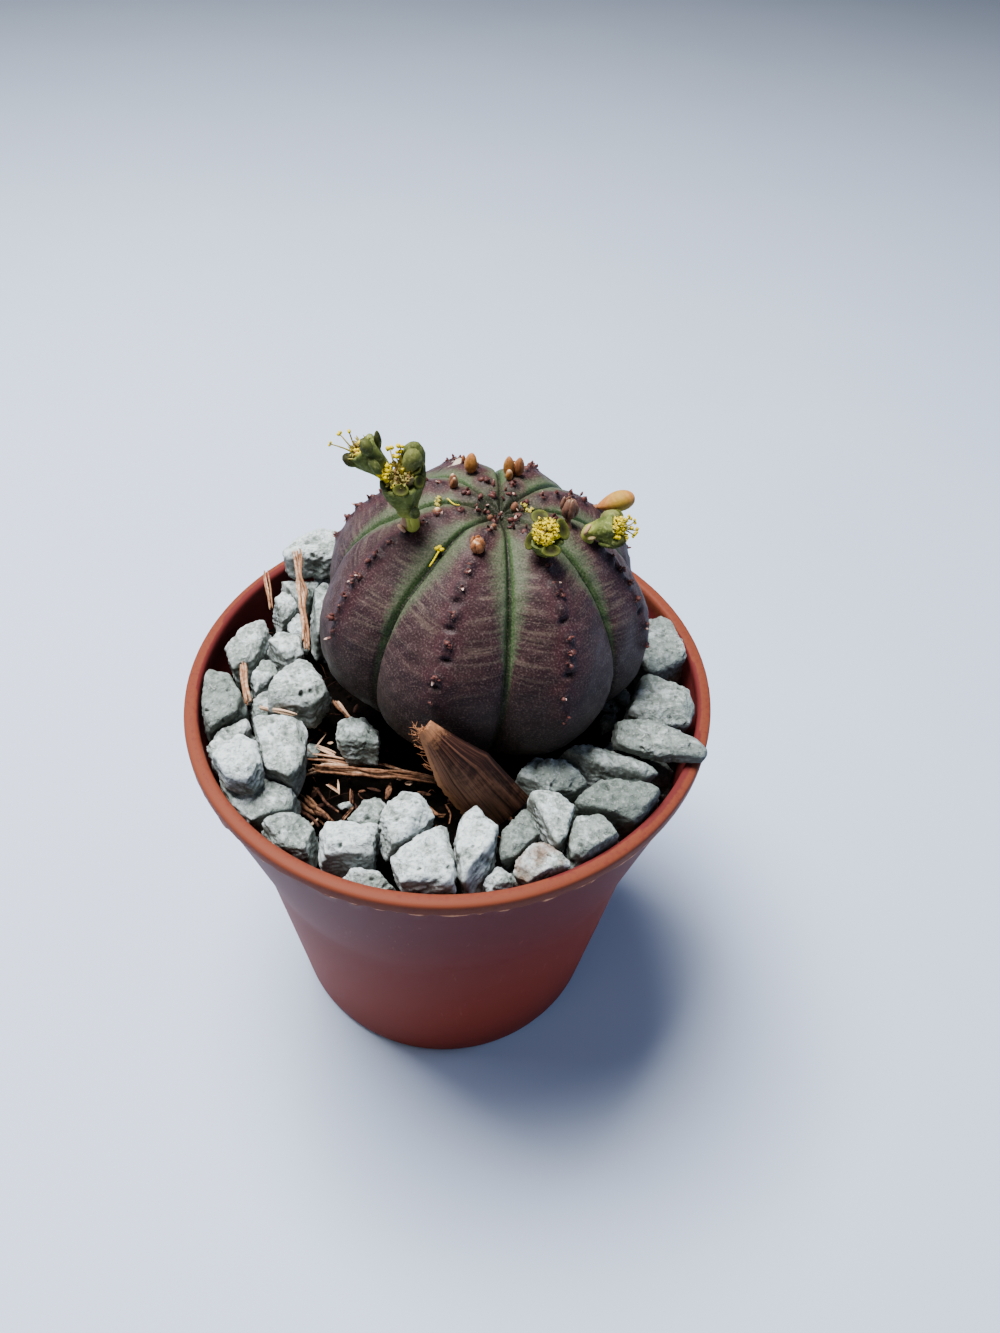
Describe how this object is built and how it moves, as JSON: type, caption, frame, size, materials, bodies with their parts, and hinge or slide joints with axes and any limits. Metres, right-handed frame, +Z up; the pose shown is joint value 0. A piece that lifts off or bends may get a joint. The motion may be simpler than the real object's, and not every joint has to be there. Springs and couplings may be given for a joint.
{
  "type": "potted baseball plant",
  "caption": "Ribbed globe-shaped succulent with small yellow-green blooms, standing in gravel-topped soil in a small tapered plastic nursery pot.",
  "frame": {"origin": "middle of the pot's underside, on the surface that the pot stands on", "axes": "+Z up, +Y away from the plant's front, +X to the right seen from the front"},
  "size_m": [0.0544, 0.0554, 0.0778],
  "materials": {
    "pot": "semi-matt moulded terracotta-coloured plastic",
    "soil": "damp fibrous peat and coir",
    "skin": "waxy grey-purple plant skin with green furrows",
    "cyathium": "fleshy green bloom cups and glands",
    "pollen": "dusty yellow anthers",
    "bud": "papery orange-brown buds",
    "dry_bud": "dry ridged brown bud",
    "husk": "dry striated husk with a paler margin",
    "coir": "dry coir fibre",
    "gravel": "pitted pale zeolite"
  },
  "bodies": {
    "root": {"bud_back_left": "bud", "bud_dry": "dry_bud", "bud_front": "bud", "buds_back": "bud", "capsule_right": "bud", "cyathia_left": "cyathium", "cyathium_front": "cyathium", "cyathium_right": "cyathium", "fibre_bundle": "coir", "fibre_left": "coir", "fibre_rim": "coir", "fibre_upright": "coir", "husk": "husk", "plant": "skin", "pot": "pot", "soil": "soil", "stamens_front": "pollen", "stamens_left_high": "pollen", "stamens_left_low": "pollen", "stamens_right": "pollen", "stone_01": "gravel", "stone_02": "gravel", "stone_03": "gravel", "stone_04": "gravel", "stone_05": "gravel", "stone_06": "gravel", "stone_07": "gravel", "stone_08": "gravel", "stone_09": "gravel", "stone_10": "gravel", "stone_11": "gravel", "stone_12": "gravel", "stone_13": "gravel", "stone_14": "gravel", "stone_15": "gravel", "stone_16": "gravel", "stone_17": "gravel", "stone_18": "gravel", "stone_19": "gravel", "stone_20": "gravel", "stone_21": "gravel", "stone_22": "gravel", "stone_23": "gravel", "stone_24": "gravel", "stone_25": "gravel", "stone_26": "gravel", "stone_27": "gravel", "stone_28": "gravel", "stone_29": "gravel", "stone_30": "gravel", "stone_31": "gravel", "stone_32": "gravel", "stone_33": "gravel", "stone_34": "gravel", "stone_35": "gravel", "stone_36": "gravel", "stone_37": "gravel", "stone_38": "gravel", "stone_39": "gravel", "stone_40": "gravel"}
  },
  "joints": []
}
